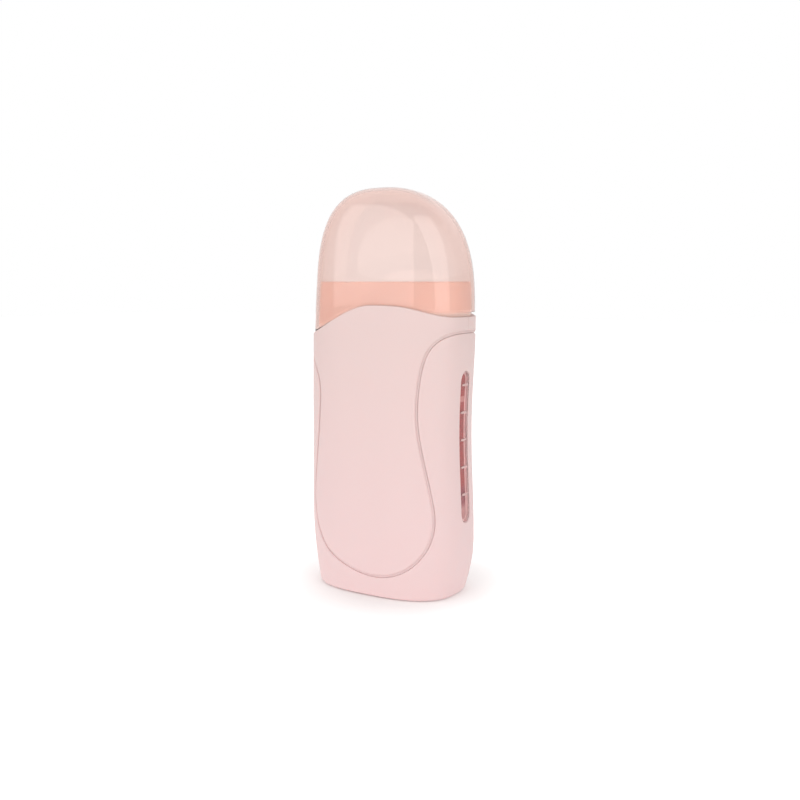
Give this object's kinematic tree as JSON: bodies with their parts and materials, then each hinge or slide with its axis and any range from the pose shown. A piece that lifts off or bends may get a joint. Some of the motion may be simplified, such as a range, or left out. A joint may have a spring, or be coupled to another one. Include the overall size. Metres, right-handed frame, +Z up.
{
  "type": "roll-on wax heater",
  "caption": "Handheld roll-on wax heater: waisted oval body with a level window, a deep cartridge well, a heater plate behind it and a clear lift-off domed lid.",
  "frame": {"origin": "centre of the base, on the plane that the rubber feet rest on", "axes": "+Z up, -Y towards the front panel, +X towards the level window"},
  "size_m": [0.0782, 0.048, 0.185],
  "materials": {
    "casing_pink": "satin pale pink ABS",
    "collar_pink": "heat-resistant pink plastic",
    "lid_clear": "clear pink plastic",
    "window_clear": "clear plastic",
    "well_plastic": "dark pink heat-resistant plastic",
    "aluminium": "rolled",
    "ptc_ceramic": "sintered",
    "brass": "stamped",
    "film": "amber polyimide film",
    "spring_steel": "spring steel",
    "screw_steel": "zinc plated",
    "thermostat_case": "moulded black resin",
    "fuse_can": "drawn can",
    "inlet_plastic": "moulded black resin",
    "pin_brass": "nickel plated brass",
    "board_green": "glass-fibre laminate",
    "led_clear": "cast epoxy",
    "resistor_body": "lacquered",
    "diode_body": "moulded resin",
    "lead_white": "silicone insulation",
    "lead_red": "silicone insulation",
    "foot_rubber": "moulded rubber"
  },
  "bodies": {
    "body": {"side_frame": "casing_pink", "front_cover": "casing_pink", "rear_cover": "casing_pink", "mouth_collar": "collar_pink", "window_lens": "window_clear", "cartridge_well": "well_plastic", "heater_plate": "aluminium", "ptc_element": "ptc_ceramic", "ptc_electrodes": "brass", "ptc_insulation": "film", "ptc_clamp": "spring_steel", "thermostat": "thermostat_case", "thermal_fuse": "fuse_can", "sensor_straps": "spring_steel", "heater_screws": "screw_steel", "inlet_socket": "inlet_plastic", "inlet_pins": "pin_brass", "indicator_board": "board_green", "indicator_led": "led_clear", "dropper_resistor": "resistor_body", "board_diode": "diode_body", "live_lead": "lead_red", "neutral_lead": "lead_white", "fuse_lead": "lead_red", "thermostat_lead": "lead_red", "indicator_leads": "lead_white", "cover_screws": "screw_steel", "rubber_feet": "foot_rubber"},
    "lid": {"lid": "lid_clear"}
  },
  "joints": [
    {"name": "lid_lift", "type": "slide", "parent": "body", "child": "lid", "axis": [0, 0, 1], "range_m": [0, 0.03]}
  ]
}
